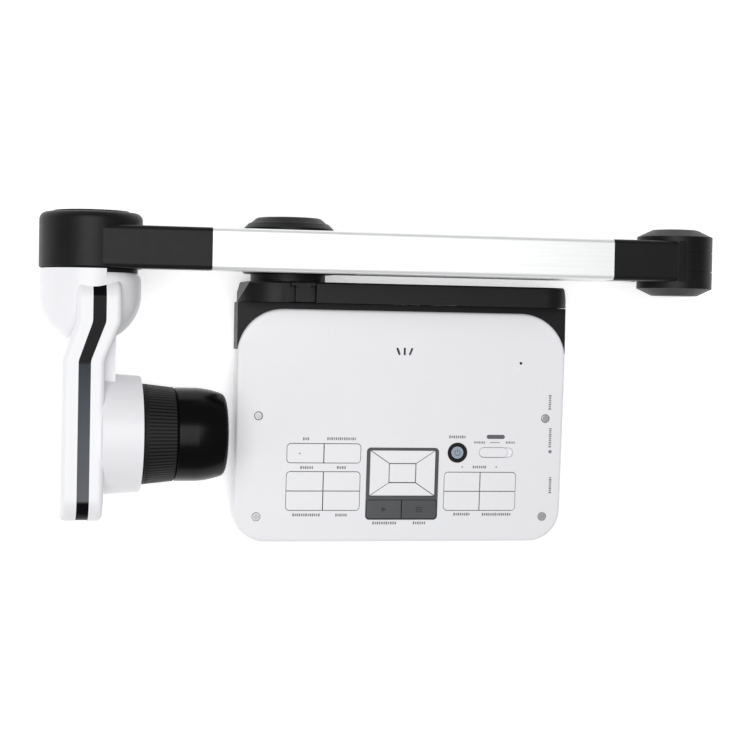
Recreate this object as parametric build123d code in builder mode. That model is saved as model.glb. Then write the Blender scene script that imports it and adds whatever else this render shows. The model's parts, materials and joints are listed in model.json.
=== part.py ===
from build123d import *
import os
from math import cos, radians, sin, tan

# Document camera, folded.  Millimetres, +X to the operator's right, +Y to the rear, +Z up.
# The origin is on the table, below the middle of the folded machine.

# ---- driving dimensions: base -------------------------------------------------------------------
BASE_LEFT, BASE_RIGHT = -88.3, 120.0      # side walls
BASE_FRONT = -99.5
COVER_REAR = 44.0                         # rear edge of the white cover
TRAY_REAR = 47.6                          # rear wall of the tray
BEAM_REAR = 60.3                          # rear face of the hinge beam
FOOT_H = 3.0                              # feet lift the floor this much
WALL = 2.2                                # moulded wall
FRONT_R, REAR_R = 20.0, 29.0              # plan corners of the cover
SKIRT = 13.5                              # depth of the cover's side
BEAM_TOP = 54.0
BEAM_R = 24.0                             # the beam's left end curves down round the shoulder

# control panel plane: tilts up to the rear
PANEL_X, PANEL_Y, PANEL_Z = 17.1, -35.9, 36.0
PANEL_TILT = 3.2
TRAVEL = 0.8                              # key travel
GAP = 0.35                                # running gap round a key
GROUP_W, KEY_H = 46.0, 11.8               # key group width, key height
GROUP_U = 50.0                            # key group centre, left and right of the panel centre
KEY_W = (GROUP_W - 0.6) / 2

# ---- driving dimensions: arms -------------------------------------------------------------------
ARM_FRONT, ARM_REAR = 65.2, 90.2
ARM_W = ARM_REAR - ARM_FRONT
ARM_Y = (ARM_FRONT + ARM_REAR) / 2
ARM_H = 22.0
TUBE_WALL = 2.0
SPIGOT = 14.0
SHOULDER_X, SHOULDER_Z, SHOULDER_R = -56.5, 30.0, 28.0
ELBOW_X, ELBOW_Z, ELBOW_R = 184.0, 58.0, 23.4
WRIST_X, WRIST_Z, WRIST_R = -178.6, 52.0, 30.4
ARM_RISE = 13.0                           # each arm lies this far below or above the elbow axis
LOWER_Z, UPPER_Z = ELBOW_Z - ARM_RISE, ELBOW_Z + ARM_RISE
ELBOW_FRONT, ELBOW_REAR = 56.8, 97.8
SHOULDER_PIN_R, ELBOW_PIN_R, WRIST_PIN_R = 6.0, 7.0, 10.0
RUN = 0.05                                # radial running fit on a pin

# ---- driving dimensions: head -------------------------------------------------------------------
HEAD_Y = (-82.8, 60.0)                    # free end and wrist end of the paddle
HALF_H = 32.5                             # half the paddle's height
JOG = (11.0, 33.7)                        # the paddle steps sideways between these depths
STRIP_LOW, STRIP_HIGH = (-186.8, -179.7), (-178.9, -171.2)   # dark edge strip below and above the step
BACK_LOW, BACK_HIGH = -196.0, -188.2      # outer face, away from the lens
FACE_LOW, FACE_HIGH = -171.4, -162.3      # lens side face
DOME_REAR = 64.7
DOME_R = 30.0
LENS_Y, LENS_Z = -32.6, 52.0
BOSS_R, BOSS_BACK, BOSS_FACE = 36.1, -172.6, -148.6
RING_FACE, HOOD_BACK, HOOD_FACE = -128.1, -127.7, -97.4
BARREL_R = 24.0

os.makedirs("parts", exist_ok=True)

TILT = tan(radians(PANEL_TILT))
PANEL = Plane(origin=(PANEL_X, PANEL_Y, PANEL_Z), x_dir=(1, 0, 0),
              z_dir=(0, -sin(radians(PANEL_TILT)), cos(radians(PANEL_TILT))))


def panel_z(y, depth=0.0):
    """Height of the panel plane at depth y, lowered along its normal."""
    return PANEL_Z + (y - PANEL_Y) * TILT - depth / cos(radians(PANEL_TILT))


def facing_front(y):
    """Plane at depth y: local x is X, local y is Z, and an extrusion runs towards the front."""
    return Plane.XZ.offset(-y)


def facing_right(x):
    """Plane at x: local x is Y, local y is Z, and an extrusion runs to the right."""
    return Plane.YZ.offset(x)


def save(part, name):
    part.label = name
    export_step(part, f"parts/{name}.step")


def rounded_plan(left, right, front, rear, front_r, rear_r):
    """Plan outline with one radius at the front corners and one at the rear."""
    with BuildSketch(mode=Mode.PRIVATE) as plan:
        with Locations(((left + right) / 2, (front + rear) / 2)):
            Rectangle(right - left, rear - front)
        corners = plan.vertices().group_by(Axis.Y)
        fillet(corners[0], front_r)
        fillet(plan.vertices().group_by(Axis.Y)[-1], rear_r)
    return plan.sketch


def cover_plan(inset=0.0):
    return rounded_plan(BASE_LEFT + inset, BASE_RIGHT - inset, BASE_FRONT + inset, COVER_REAR - inset,
                        FRONT_R - inset, REAR_R - inset)


def cover_block(inset, skirt_depth):
    """Solid inside the cover's skin: flat panel, dropping gently at the rear, cut off at the skirt."""
    with BuildPart(mode=Mode.PRIVATE) as block:
        with BuildSketch():
            add(cover_plan(inset))
        extrude(amount=60)
        crest = COVER_REAR - 24
        with BuildSketch(facing_right(BASE_LEFT - 5)):
            with BuildLine():
                top_front = (BASE_FRONT - 5, panel_z(BASE_FRONT - 5, inset))
                top_crest = (crest, panel_z(crest, inset))
                top_rear = (COVER_REAR + 5, panel_z(crest, inset) - 1.6)
                Line(top_front, top_crest)
                TangentArc(top_crest, top_rear, tangent=(1, TILT))
                Polyline(top_rear, (COVER_REAR + 5, panel_z(COVER_REAR + 5, skirt_depth)),
                         (BASE_FRONT - 5, panel_z(BASE_FRONT - 5, skirt_depth)), top_front)
            make_face()
        extrude(amount=BASE_RIGHT - BASE_LEFT + 10, mode=Mode.INTERSECT)
    return block.part


# ---- places on the panel ------------------------------------------------------------------------
ROW_TOP, ROW_MID, ROW_LOW = -8.7, -26.1, -38.2        # key rows, from the panel origin
GROUP_MID = (ROW_MID + ROW_LOW) / 2
PAD_V, PAD_W, PAD_H = -27.5, 46.0, 45.2               # dark bezel round the direction pad
PAD_CROSS_V, PAD_CROSS_W, PAD_CROSS_H = -20.8, 41.8, 28.6
PAD_ENTER_W, PAD_ENTER_H = 16.4, 11.4
PAD_LOW_V, PAD_LOW_W, PAD_LOW_H = -43.5, 44.4, 11.6
POWER_U, POWER_V, POWER_R, POWER_KEY_R = 34.8, -7.8, 6.3, 3.9
SLOT_U, SLOT_V, SLOT_W, SLOT_H, KNOB_W = 59.9, -7.6, 22.3, 6.6, 18.2
MIC_U, MIC_V = -0.9, 55.0
STATUS_U, STATUS_V = 74.0, 48.8
SCREW_U, SCREW_V = 91.3, (14.1, -48.1)
SCREWS = [(side * SCREW_U, v) for side in (-1, 1) for v in SCREW_V]
STATUS_R, SCREW_R, SCREW_HEAD_R = 0.9, 1.6, 2.5
BOARD_TOP = 7.4                                       # key board, this far below the panel
SWITCH_H = 2.7

# ---- places in the base -------------------------------------------------------------------------
BEAM_FRONT = TRAY_REAR + 0.2
BOARD_Z, BOARD_T = 8.4, 1.6                # main board: underside and thickness
BOARD_UP = BOARD_Z + BOARD_T
FLOOR_TOP = FOOT_H + WALL
FOOT_R = 7.0
FEET = [(x, y) for x in (-66.0, 97.0) for y in (-76.0, 34.0)]
FLOOR_SCREWS = [(x, y) for x in (-40.0, 71.0) for y in (-86.0, 39.0)]
BOARD_POSTS = [(x, y) for x in (-50.0, 40.0, 104.0) for y in (-74.0, 12.0)]
# each port: place along its wall, height of its middle, width, height
SIDE_PORTS = {"vga": (-8.5, 15.2, 17.0, 8.6), "card": (-40.0, 11.9, 26.0, 3.0),
              "hdmi": (-64.5, 13.0, 15.4, 6.0)}
REAR_PORTS = {"usb": (23.0, 13.3, 13.4, 6.2), "hdmi": (46.0, 13.0, 15.4, 6.0), "vga": (74.0, 15.2, 17.0, 8.6),
              "dc": (101.0, 15.0, 9.0, 10.0)}
PORT_MID, PORT_SPAN = 61.0, 96.0
# arm release button: a bar along the rear of the beam with a narrower tongue in front of it
TAB_X, TAB_BAR_W, TAB_TONGUE_W = -50.7, 15.4, 9.6
TAB_FRONT, TAB_STEP, TAB_REAR = 48.2, 57.6, 60.0
TAB_TRAVEL, TAB_PROUD, TAB_SUNK = 2.0, 0.6, 5.2

# ---- top cover ----------------------------------------------------------------------------------
BOSS_END = 10.6                           # screw bosses meet the tray's posts this far below the panel
cover_skin = cover_block(0, SKIRT)
cover_core = cover_block(WALL, SKIRT + 5)
with BuildPart() as top_cover:
    add(cover_skin)
    tops = top_cover.faces().filter_by(lambda face: face.normal_at().Z > 0.9)
    crease = tops[0].edges() & tops[1].edges()
    fillet(tops.edges() - crease, 1.8)
    add(cover_core, mode=Mode.SUBTRACT)
    with BuildSketch(PANEL.offset(-WALL + 0.1)):
        with Locations(*SCREWS):
            Circle(4.5)
    extrude(amount=WALL - 0.1 - BOSS_END)
    with BuildSketch(PANEL.offset(2)):
        with Locations((-GROUP_U, ROW_TOP)):
            RectangleRounded(GROUP_W + 2 * GAP, KEY_H + 2 * GAP, 2.6)
        with Locations((-GROUP_U, GROUP_MID), (GROUP_U, GROUP_MID)):
            RectangleRounded(GROUP_W + 2 * GAP, ROW_MID - ROW_LOW + KEY_H + 2 * GAP, 2.6)
        with Locations((0, PAD_V)):
            RectangleRounded(PAD_W, PAD_H, 2.6)
        with Locations((POWER_U, POWER_V)):
            Circle(POWER_R)
        with Locations((SLOT_U, SLOT_V)):
            SlotOverall(SLOT_W, SLOT_H)
        for lean, u in ((112, -4.0), (90, 0.0), (68, 4.0)):
            with Locations((MIC_U + u, MIC_V)):
                SlotOverall(4.9, 1.4, rotation=lean)
        with Locations((STATUS_U, STATUS_V)):
            Circle(STATUS_R)
        with Locations(*SCREWS):
            Circle(SCREW_R)
    extrude(amount=-20, mode=Mode.SUBTRACT)
    with BuildSketch(PANEL.offset(2)):
        with Locations(*SCREWS):
            Circle(SCREW_HEAD_R + 0.3)
    extrude(amount=-2 - 1.5, mode=Mode.SUBTRACT)
save(top_cover.part, "top_cover")

# ---- tray ---------------------------------------------------------------------------------------
def tray_plan(inset, rear_wall=0.0):
    return rounded_plan(BASE_LEFT + inset, BASE_RIGHT - inset, BASE_FRONT + inset, TRAY_REAR - rear_wall,
                        FRONT_R - inset, 3.0)


DRAFT_LOW, DRAFT_HIGH, DRAFT_TOP = 6.0, 0.4, 30.0      # inset at the floor and at the top, top height
tray_low, tray_high = tray_plan(DRAFT_LOW), tray_plan(DRAFT_HIGH)
core_low, core_high = tray_plan(DRAFT_LOW + WALL, WALL), tray_plan(DRAFT_HIGH + WALL, WALL)
cover_clear = cover_plan(-0.25)
with BuildPart() as base_tray:
    # drafted body
    with BuildSketch(Plane.XY.offset(FOOT_H)):
        add(tray_low)
    with BuildSketch(Plane.XY.offset(DRAFT_TOP)):
        add(tray_high)
    loft()
    chamfer(base_tray.faces().sort_by(Axis.Z)[0].edges(), 1.2)
    with BuildSketch(Plane.XY.offset(FLOOR_TOP)):
        add(core_low)
    with BuildSketch(Plane.XY.offset(DRAFT_TOP)):
        add(core_high)
    loft(mode=Mode.SUBTRACT)
    # posts under the cover's bosses, and under the two boards
    with BuildSketch(Plane.XY.offset(FLOOR_TOP - 0.2)):
        with Locations(*[(PANEL_X + u, PANEL_Y + v) for u, v in SCREWS]):
            Circle(3.2)
    extrude(amount=18)
    with BuildSketch(Plane.XY.offset(FLOOR_TOP - 0.2)):
        with Locations(*BOARD_POSTS):
            Circle(2.6)
    extrude(amount=BOARD_Z - FLOOR_TOP + 0.2)
    split(bisect_by=PANEL.offset(-SKIRT), keep=Keep.BOTTOM)
    # raised corners behind the cover's rounded corners
    with BuildSketch(Plane.XY.offset(22)):
        with Locations(((BASE_LEFT + BASE_RIGHT) / 2, (COVER_REAR - REAR_R + TRAY_REAR) / 2)):
            Rectangle(BASE_RIGHT - BASE_LEFT, TRAY_REAR - COVER_REAR + REAR_R)
        add(cover_clear, mode=Mode.SUBTRACT)
    extrude(amount=panel_z(COVER_REAR - REAR_R, 1.5) - 22)
    # screw holes, feet recesses, ports and the rear cable opening
    with BuildSketch(PANEL.offset(-SKIRT + 6)):
        with Locations(*SCREWS):
            Circle(1.3)
    extrude(amount=-11, mode=Mode.SUBTRACT)
    with Locations(*[(x, y, FOOT_H) for x, y in FEET]):
        Cylinder(FOOT_R, 1.2, mode=Mode.SUBTRACT)
    with Locations(*[(x, y, FOOT_H) for x, y in FLOOR_SCREWS]):
        Cylinder(1.7, 12, mode=Mode.SUBTRACT)
        Cylinder(3.3, 2.0, mode=Mode.SUBTRACT)
    for y, z, width, height in SIDE_PORTS.values():
        with Locations((BASE_RIGHT - 4, y, z)):
            Box(16, width + 0.8, height + 0.8, mode=Mode.SUBTRACT)
    with Locations((PORT_MID, TRAY_REAR, 15.5)):
        Box(PORT_SPAN, 9, 17, mode=Mode.SUBTRACT)
save(base_tray.part, "base_tray")

# ---- hinge beam across the rear -----------------------------------------------------------------
with BuildPart() as hinge_beam:
    with BuildSketch(facing_front(BEAM_REAR)):
        with BuildLine():
            Polyline((BASE_LEFT + 6, FOOT_H), (BASE_RIGHT - 6, FOOT_H), (BASE_RIGHT - 2, 12),
                     (BASE_RIGHT - 1, BEAM_TOP - 16))
            RadiusArc((BASE_RIGHT - 1, BEAM_TOP - 16), (BASE_RIGHT - 17, BEAM_TOP), -16)
            Line((BASE_RIGHT - 17, BEAM_TOP), (BASE_LEFT + BEAM_R + 0.3, BEAM_TOP))
            RadiusArc((BASE_LEFT + BEAM_R + 0.3, BEAM_TOP), (BASE_LEFT + 0.3, BEAM_TOP - BEAM_R), -BEAM_R)
            Polyline((BASE_LEFT + 0.3, BEAM_TOP - BEAM_R), (BASE_LEFT + 3, 12), (BASE_LEFT + 6, FOOT_H))
        make_face()
        with Locations((SHOULDER_X, 0)):
            Rectangle(80, 2 * FOOT_H, mode=Mode.SUBTRACT)
    extrude(amount=BEAM_REAR - BEAM_FRONT)
    rear_rim = hinge_beam.faces().sort_by(Axis.Y)[-1].edges()
    chamfer(rear_rim.filter_by(lambda e: e.center().Z > BEAM_TOP - 2), 1.0)
    # both ends slant inwards towards the rear
    with BuildSketch(Plane.XY):
        for end, out, slant in ((BASE_LEFT, -1, 6.5), (BASE_RIGHT, 1, 5.0)):
            with BuildLine():
                Polyline((end + out, BEAM_FRONT + 0.6), (end + out, BEAM_REAR + 1),
                         (end - slant * out, BEAM_REAR + 1), (end - 0.3 * out, BEAM_FRONT + 0.6), close=True)
            make_face()
    extrude(amount=BEAM_TOP + 2, mode=Mode.SUBTRACT)
    # hollow from the front
    with BuildSketch(facing_front(BEAM_REAR - WALL)):
        with BuildLine():
            Polyline((BASE_LEFT + 10, FLOOR_TOP), (BASE_RIGHT - 8, FLOOR_TOP), (BASE_RIGHT - 7, 12),
                     (BASE_RIGHT - 7, BEAM_TOP - 18), (BASE_RIGHT - 20, BEAM_TOP - 4),
                     (BASE_LEFT + 20, BEAM_TOP - 4), (BASE_LEFT + 8, BEAM_TOP - 14), close=True)
        make_face()
        with Locations((SHOULDER_X, 0)):
            Rectangle(90, 2 * FLOOR_TOP, mode=Mode.SUBTRACT)
    extrude(amount=BEAM_REAR - BEAM_FRONT, mode=Mode.SUBTRACT)
    # collar that carries the shoulder drum
    with BuildSketch(facing_front(ARM_FRONT - 0.4)):
        with Locations((SHOULDER_X, SHOULDER_Z)):
            Circle(BEAM_R - 1)
    extrude(amount=ARM_FRONT - 0.4 - BEAM_REAR + WALL)
    with BuildSketch(facing_front(ARM_FRONT)):
        with Locations((SHOULDER_X, SHOULDER_Z)):
            Circle(SHOULDER_PIN_R)
    extrude(amount=20, mode=Mode.SUBTRACT)
    for x, z, width, height in REAR_PORTS.values():
        with Locations((x, BEAM_REAR, z)):
            Box(width + 0.8, 12, height + 0.8, mode=Mode.SUBTRACT)
    # well for the release button, open at the top, the front and the rear
    with Locations((TAB_X, BEAM_FRONT - 1, BEAM_TOP - TAB_SUNK - TAB_TRAVEL - 0.4)):
        Box(TAB_BAR_W + 0.8, BEAM_REAR - BEAM_FRONT + 1.3, 12, align=(Align.CENTER, Align.MIN, Align.MIN),
            mode=Mode.SUBTRACT)
save(hinge_beam.part, "hinge_beam")

# ---- release button and the steel inside the beam -------------------------------------------------
with BuildPart() as arm_release:
    with BuildSketch(Plane.XY.offset(BEAM_TOP - TAB_SUNK)):
        with Locations((TAB_X, TAB_STEP)):
            Rectangle(TAB_BAR_W, TAB_REAR - TAB_STEP, align=(Align.CENTER, Align.MIN))
            Rectangle(TAB_TONGUE_W, TAB_STEP - TAB_FRONT, align=(Align.CENTER, Align.MAX))
    extrude(amount=TAB_SUNK + TAB_PROUD)
    tops = arm_release.faces().sort_by(Axis.Z)[-1]
    fillet(tops.edges(), 0.5)
    # tongue sinks a little below the bar, and a flange closes the well below both
    with Locations((TAB_X, TAB_STEP - 0.8, BEAM_TOP - 0.1)):
        Box(TAB_TONGUE_W + 1, 30, 2, align=(Align.CENTER, Align.MAX, Align.MIN), mode=Mode.SUBTRACT)
    with Locations((TAB_X, TAB_FRONT, BEAM_TOP - TAB_SUNK)):
        Box(TAB_BAR_W, TAB_REAR - TAB_FRONT, 1.2, align=(Align.CENTER, Align.MIN, Align.MIN))
    with BuildSketch(Plane.XY.offset(BEAM_TOP - TAB_SUNK)):
        with Locations((TAB_X, TAB_FRONT + 4)):
            Circle(1.8)
    extrude(amount=-2.0)
save(arm_release.part, "arm_release")

BRACKET_Y = BEAM_REAR - WALL - 2.5
with BuildPart() as shoulder_bracket:
    with BuildSketch(facing_front(BRACKET_Y + 2.5)):
        with Locations((SHOULDER_X, SHOULDER_Z)):
            Circle(15)
        with Locations((SHOULDER_X, SHOULDER_Z - 12)):
            Rectangle(26, 24)
        with Locations((SHOULDER_X, SHOULDER_Z)):
            Circle(SHOULDER_PIN_R, mode=Mode.SUBTRACT)
    extrude(amount=2.5)
    with Locations((SHOULDER_X, BRACKET_Y - 2, FLOOR_TOP + 2)):
        Box(26, 9, 3)
    fillet(shoulder_bracket.edges().filter_by(Axis.Z).sort_by(Axis.Y)[:2], 2)
save(shoulder_bracket.part, "shoulder_bracket")

NUT_FACE = 85.7
with BuildPart() as shoulder_axle:
    with BuildSketch(facing_front(NUT_FACE + 4.3)):
        with Locations((SHOULDER_X, SHOULDER_Z)):
            Circle(SHOULDER_PIN_R)
    extrude(amount=NUT_FACE + 4.3 - BRACKET_Y + 3)
    with BuildSketch(facing_front(BRACKET_Y)):
        with Locations((SHOULDER_X, SHOULDER_Z)):
            RegularPolygon(10, 6)
    extrude(amount=3)
    with BuildSketch(facing_front(NUT_FACE)):
        with Locations((SHOULDER_X, SHOULDER_Z)):
            Circle(11)
    extrude(amount=1.4)
    with BuildSketch(facing_front(NUT_FACE + 4)):
        with Locations((SHOULDER_X, SHOULDER_Z)):
            RegularPolygon(9.5, 6)
    extrude(amount=4)
save(shoulder_axle.part, "shoulder_axle")

with BuildPart() as ballast_plate:
    with BuildSketch(Plane.XY.offset(FLOOR_TOP)):
        with Locations((14, -31)):
            RectangleRounded(110, 76, 4)
        with Locations(*BOARD_POSTS):
            Circle(4, mode=Mode.SUBTRACT)
    extrude(amount=2.4)
save(ballast_plate.part, "ballast_plate")

with BuildPart() as rubber_feet:
    with BuildSketch():
        with Locations(*FEET):
            Circle(FOOT_R)
    extrude(amount=FOOT_H + 0.6)
    chamfer(rubber_feet.edges().group_by(Axis.Z)[0], 0.8)
save(rubber_feet.part, "rubber_feet")

with BuildPart() as cover_screws:
    with BuildSketch(PANEL.offset(-1.5)):
        with Locations(*SCREWS):
            Circle(SCREW_HEAD_R)
    extrude(amount=1.3)
    fillet(cover_screws.edges().filter_by(GeomType.CIRCLE).group_by(Axis.Z)[-1], 0.5)
    with BuildSketch(PANEL.offset(-1.5)):
        with Locations(*SCREWS):
            Circle(1.3)
    extrude(amount=-14)
    with BuildSketch(PANEL.offset(-0.2)):
        with Locations(*SCREWS):
            Rectangle(2.4, 0.7)
            Rectangle(0.7, 2.4)
    extrude(amount=-0.8, mode=Mode.SUBTRACT)
save(cover_screws.part, "cover_screws")

with BuildPart() as floor_screws:
    with Locations(*[(x, y, FOOT_H + 0.2) for x, y in FLOOR_SCREWS]):
        Cylinder(SCREW_HEAD_R, 0.8, align=(Align.CENTER, Align.CENTER, Align.MIN))
        Cylinder(1.7, 4.4, align=(Align.CENTER, Align.CENTER, Align.MIN))
save(floor_screws.part, "floor_screws")

# ---- boards, sockets and small electrics -----------------------------------------------------------
with BuildPart() as main_board:
    with BuildSketch(Plane.XY.offset(BOARD_Z)):
        with Locations((26, -31)):
            Rectangle(168, 94)
        with Locations((PORT_MID, 34)):
            Rectangle(PORT_SPAN - 3, 46)
        with Locations((PANEL_X + SCREW_U, PANEL_Y + SCREW_V[0])):
            Circle(5, mode=Mode.SUBTRACT)
    extrude(amount=BOARD_T)
    # processor with its heat sink, memory, and a row of capacitors
    with Locations((20, -20, BOARD_UP)):
        Box(28, 28, 3, align=(Align.CENTER, Align.CENTER, Align.MIN))
        with GridLocations(4, 1, 6, 1):
            Box(1.2, 26, 7, align=(Align.CENTER, Align.CENTER, Align.MIN))
    with Locations(*[(x, -52, BOARD_UP) for x in (-4, 14, 32)]):
        Box(13, 9, 1.4, align=(Align.CENTER, Align.CENTER, Align.MIN))
    with Locations(*[(x, 24, BOARD_UP) for x in (64, 76, 88)]):
        Cylinder(4, 10, align=(Align.CENTER, Align.CENTER, Align.MIN))
save(main_board.part, "main_board")


def socket(out, along, ports, name, reach):
    """A socket block behind its wall with a nose in the wall's opening; out is the wall's outer face."""
    side = along == "side"
    with BuildPart(mode=Mode.PRIVATE) as block:
        for place, z, width, height in ports:
            top = z + height / 2
            with BuildSketch(facing_right(out - reach) if side else facing_front(out - reach)):
                with Locations((place, (BOARD_UP + top) / 2)):
                    Rectangle(width + 1.6, top - BOARD_UP)
            extrude(amount=-8 if side else 8)
            with BuildSketch(facing_right(out - reach) if side else facing_front(out - reach)):
                with Locations((place, z)):
                    RectangleRounded(width, height, 0.9 if height > 4 else 0.4)
                    if name == "hdmi" or name == "usb":
                        RectangleRounded(width - 1.2, height - 1.2, 0.5, mode=Mode.SUBTRACT)
                    if name == "card":
                        Rectangle(width - 1.6, height - 1.2, mode=Mode.SUBTRACT)
            extrude(amount=reach - 0.6 if side else 0.6 - reach)
            if name == "hdmi" or name == "usb":
                with BuildSketch(facing_right(out - reach) if side else facing_front(out - reach)):
                    with Locations((place, z)):
                        Rectangle(width - 3.4, 1.1)
                extrude(amount=reach - 1.4 if side else 1.4 - reach)
            if name == "vga":
                pins = [(place - 4.6 + 2.3 * i - 1.15 * (row % 2), z - 2.2 + 2.2 * row)
                        for row in range(3) for i in range(5)]
                with BuildSketch(facing_right(out) if side else facing_front(out)):
                    with Locations(*pins):
                        Circle(0.5)
                extrude(amount=-4 if side else 4, mode=Mode.SUBTRACT)
    return block.part


SIDE_FACE = BASE_RIGHT - 3.2
sockets = {"vga_sockets": "vga", "hdmi_sockets": "hdmi", "card_slot": "card", "usb_socket": "usb"}
for node, kind in sockets.items():
    blocks = []
    if kind in SIDE_PORTS:
        blocks.append(socket(SIDE_FACE, "side", [SIDE_PORTS[kind]], kind, 4.6))
    if kind in REAR_PORTS:
        blocks.append(socket(BEAM_REAR, "rear", [REAR_PORTS[kind]], kind, 4.6))
    with BuildPart() as pair:
        for block in blocks:
            add(block)
    save(pair.part, node)

DC_X, DC_Z, DC_W, DC_H = REAR_PORTS["dc"]
with BuildPart() as dc_inlet:
    with Locations((DC_X, BEAM_REAR - 0.6, (BOARD_UP + DC_Z + DC_H / 2) / 2)):
        Box(DC_W, 12, DC_Z + DC_H / 2 - BOARD_UP, align=(Align.CENTER, Align.MAX, Align.CENTER))
    with BuildSketch(facing_front(BEAM_REAR)):
        with Locations((DC_X, DC_Z)):
            Circle(3.1)
            Circle(1.0, mode=Mode.SUBTRACT)
    extrude(amount=9, mode=Mode.SUBTRACT)
save(dc_inlet.part, "dc_inlet")

SWITCHES = ([(-GROUP_U + s * (GROUP_W + 0.6) / 4, v) for s in (-1, 1) for v in (ROW_TOP, ROW_MID, ROW_LOW)]
            + [(GROUP_U + s * (GROUP_W + 0.6) / 4, v) for s in (-1, 1) for v in (ROW_MID, ROW_LOW)]
            + [(s * 14.6, PAD_CROSS_V) for s in (-1, 0, 1)] + [(0, PAD_CROSS_V + s * 10.0) for s in (-1, 1)]
            + [(s * PAD_LOW_W / 4, PAD_LOW_V) for s in (-1, 1)] + [(POWER_U, POWER_V)])
with BuildPart() as key_board:
    with BuildSketch(PANEL.offset(-BOARD_TOP)):
        with Locations((0, -20)):
            Rectangle(160, 66)
    extrude(amount=-BOARD_T)
    with BuildSketch(PANEL.offset(-BOARD_TOP)):
        with Locations(*SWITCHES):
            RectangleRounded(4.4, 4.4, 0.4)
    extrude(amount=1.7)
    with BuildSketch(PANEL.offset(-BOARD_TOP)):
        with Locations(*SWITCHES):
            Circle(1.6)
    extrude(amount=SWITCH_H)
    with BuildSketch(PANEL.offset(-BOARD_TOP)):
        with Locations((SLOT_U, SLOT_V)):
            Rectangle(9, 4)
            Rectangle(5.4, 1.6, mode=Mode.SUBTRACT)
    extrude(amount=2.2)
save(key_board.part, "key_board")

with BuildPart() as microphone:
    with BuildSketch(PANEL.offset(-WALL - 0.1)):
        with Locations((MIC_U, MIC_V)):
            Circle(4.8)
    extrude(amount=-4)
save(microphone.part, "microphone")

with BuildPart() as status_light:
    with BuildSketch(PANEL.offset(-0.05)):
        with Locations((STATUS_U, STATUS_V)):
            Circle(STATUS_R)
    extrude(amount=-5.0)
    with BuildSketch(PANEL.offset(-5.0)):
        with Locations((STATUS_U, (STATUS_V + 10) / 2)):
            Rectangle(2.4, STATUS_V - 10 + 2.4)
    extrude(amount=BOARD_TOP * -1 + 5.0)
save(status_light.part, "status_light")

# ---- push keys ------------------------------------------------------------------------------------
KEY_DEPTH = 3.0
STEM_END = BOARD_TOP - SWITCH_H - TRAVEL - 0.05


def group_outline(u, v, width, height, corner):
    with BuildSketch(mode=Mode.PRIVATE) as outline:
        with Locations((u, v)):
            RectangleRounded(width, height, corner)
    return outline.sketch


def push_key(name, outline, u, v, proud, stem=None):
    """A key cap with its stem; outline is the cap's shape on the panel, u and v its middle."""
    stem_u, stem_v = stem or (u, v)
    with BuildPart() as cap:
        with BuildSketch(PANEL.offset(-KEY_DEPTH)):
            add(outline)
        extrude(amount=KEY_DEPTH + proud)
        fillet(cap.faces().sort_by(Axis.Z)[-1].edges(), 0.3)
        with BuildSketch(PANEL.offset(-KEY_DEPTH)):
            with Locations((stem_u, stem_v)):
                Circle(1.3)
        extrude(amount=KEY_DEPTH - STEM_END)
    save(cap.part, name)


def grouped_key(name, group, column, v):
    """One key of a two-column group, cut from the group's rounded outline."""
    u = group[0] + column * (GROUP_W + 0.6) / 4
    with BuildSketch(mode=Mode.PRIVATE) as shape:
        add(group_outline(*group))
        with Locations((u, v)):
            Rectangle(KEY_W, KEY_H - 0.15, mode=Mode.INTERSECT)
    push_key(name, shape.sketch, u, v, 0.35)


TWO_ROWS = ROW_MID - ROW_LOW + KEY_H
upper_left = (-GROUP_U, ROW_TOP, GROUP_W, KEY_H, 2.3)
lower_left = (-GROUP_U, GROUP_MID, GROUP_W, TWO_ROWS, 2.3)
lower_right = (GROUP_U, GROUP_MID, GROUP_W, TWO_ROWS, 2.3)
grouped_key("pc_key", upper_left, -1, ROW_TOP)
grouped_key("brightness_key", upper_left, 1, ROW_TOP)
grouped_key("lamp_key", lower_left, -1, ROW_MID)
grouped_key("flip_key", lower_left, 1, ROW_MID)
grouped_key("recording_key", lower_left, -1, ROW_LOW)
grouped_key("snap_key", lower_left, 1, ROW_LOW)
grouped_key("zoom_out_key", lower_right, -1, ROW_MID)
grouped_key("zoom_in_key", lower_right, 1, ROW_MID)
grouped_key("freeze_key", lower_right, -1, ROW_LOW)
grouped_key("auto_focus_key", lower_right, 1, ROW_LOW)

# direction pad: four keys whose joints run from the corners of the enter key to the corners of the pad
HALF_W, HALF_CROSS = PAD_CROSS_W / 2, PAD_CROSS_H / 2
ENTER_W, ENTER_H = PAD_ENTER_W / 2 + 0.35, PAD_ENTER_H / 2 + 0.35


def pad_key(name, corners, stem):
    with BuildSketch(mode=Mode.PRIVATE) as shape:
        with Locations((0, PAD_CROSS_V)):
            with BuildLine(mode=Mode.PRIVATE) as edge:
                Polyline(*corners, close=True)
            add(make_face(edge.edges(), mode=Mode.PRIVATE))
        offset(amount=-0.18, kind=Kind.INTERSECTION, mode=Mode.REPLACE)
    push_key(name, shape.sketch, 0, 0, 0.5, stem=stem)


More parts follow.
